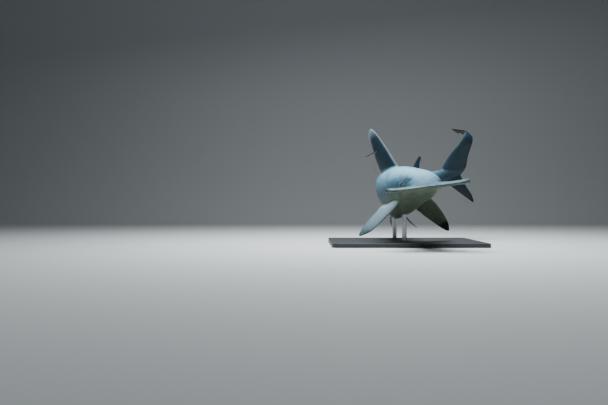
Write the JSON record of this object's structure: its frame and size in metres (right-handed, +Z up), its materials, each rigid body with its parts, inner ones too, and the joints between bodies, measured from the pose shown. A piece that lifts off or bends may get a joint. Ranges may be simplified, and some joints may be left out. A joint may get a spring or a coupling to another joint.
{
  "type": "hammerhead shark",
  "caption": "Life-size still museum model of a great hammerhead shark in a banked turn, with a dart tag behind its first dorsal fin, held on rods over a flat base.",
  "frame": {"origin": "middle of the underside of the display base, on the floor", "axes": "+Z up; the shark's head points roughly towards -Y and its tail fin towards +X and +Y"},
  "size_m": [1.7995, 2.3199, 1.3542],
  "materials": {
    "skin": "matte countershaded hide, grey blue above and olive grey below",
    "eye": "wet dark eye",
    "tag_resin": "weathered dark red brown resin",
    "tag_leader": "dull monofilament",
    "tag_metal": "dull steel",
    "stand_base": "satin charcoal",
    "stand_rod": "brushed"
  },
  "bodies": {
    "root": {"head": "skin", "trunk": "skin", "tail": "skin", "caudal_fin": "skin", "first_dorsal_fin": "skin", "second_dorsal_fin": "skin", "anal_fin": "skin", "pectoral_fin_right": "skin", "pectoral_fin_left": "skin", "pelvic_fin_right": "skin", "pelvic_fin_left": "skin", "eye_right": "eye", "eye_left": "eye", "tag_body": "tag_resin", "tag_tether": "tag_leader", "tag_anchor": "tag_metal", "stand_base": "stand_base", "stand_rod_front": "stand_rod", "stand_rod_rear": "stand_rod"}
  },
  "joints": []
}
